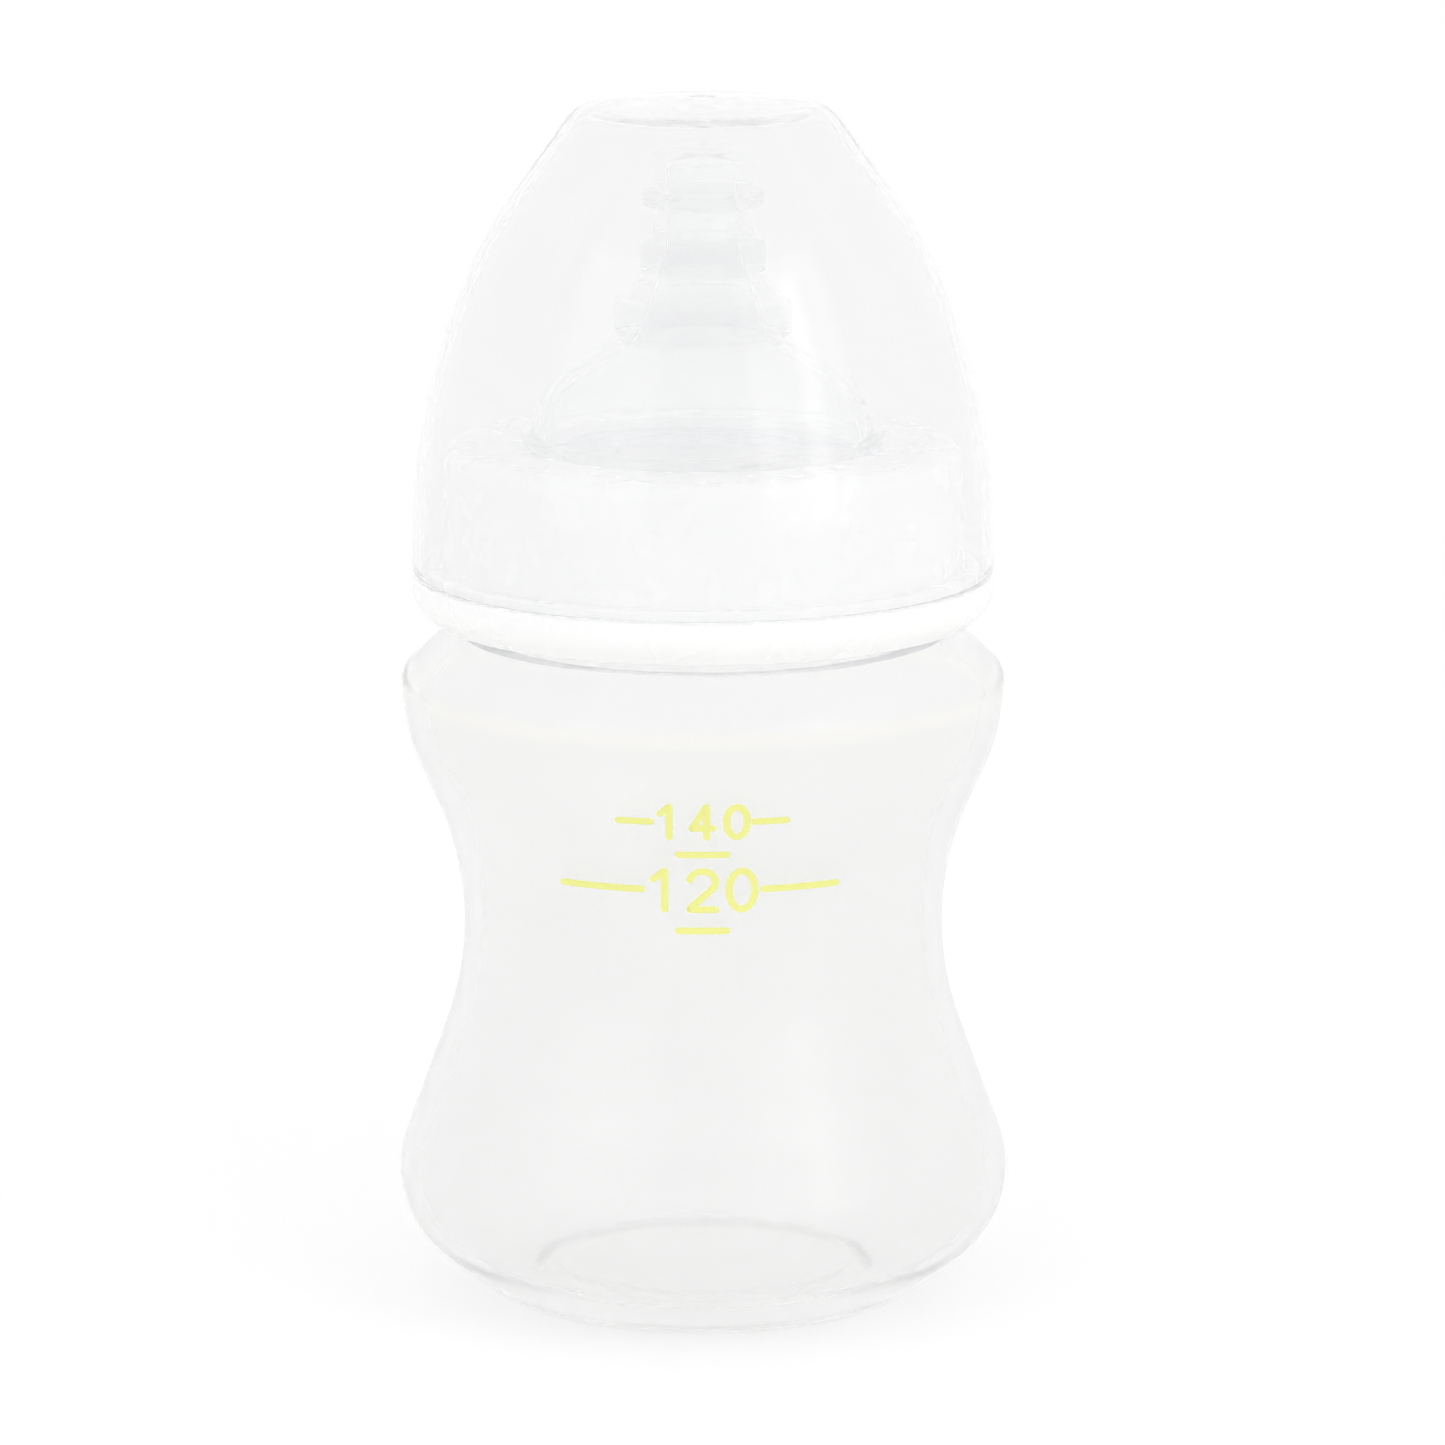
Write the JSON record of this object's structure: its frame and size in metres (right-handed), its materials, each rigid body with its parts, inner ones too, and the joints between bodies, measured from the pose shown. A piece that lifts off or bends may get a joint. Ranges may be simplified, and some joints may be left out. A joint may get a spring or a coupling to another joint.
{
  "type": "baby bottle",
  "caption": "Waisted wide-neck baby bottle with a screw collar, a ringed teat and a clear domed dust cap.",
  "frame": {"origin": "on the axis, in the plane of the ring that the bottle stands on", "axes": "+Z along the axis, from the base to the cap; X and Y across it, with the front at -Y"},
  "size_m": [0.0678, 0.0678, 0.1337],
  "materials": {
    "bottle_plastic": "translucent milky polypropylene, polished outside",
    "collar_plastic": "opaque cool white, glossy",
    "teat_silicone": "clear soft silicone, smooth",
    "cap_plastic": "clear, very slightly hazy, glossy"
  },
  "bodies": {
    "bottle_body": {"bottle": "bottle_plastic"},
    "teat_body": {"teat": "teat_silicone"},
    "collar_body": {"screw_collar": "collar_plastic"},
    "cap_body": {"dust_cap": "cap_plastic"}
  },
  "joints": [
    {"name": "teat_lift", "type": "slide", "parent": "bottle_body", "child": "teat_body", "axis": [0, 0, 1], "range_m": [0, 0.01688]},
    {"name": "collar_turn", "type": "hinge", "parent": "teat_body", "child": "collar_body", "pos_m": [0, 0, 0.085], "axis": [0, 0, 1], "range_deg": [0, 1350]},
    {"name": "cap_lift", "type": "slide", "parent": "collar_body", "child": "cap_body", "axis": [0, 0, 1], "range_m": [0, 0.06]}
  ],
  "couplings": [
    {"joint": "teat_lift", "follows": "collar_turn", "m_per_rad": 0.0007162}
  ]
}
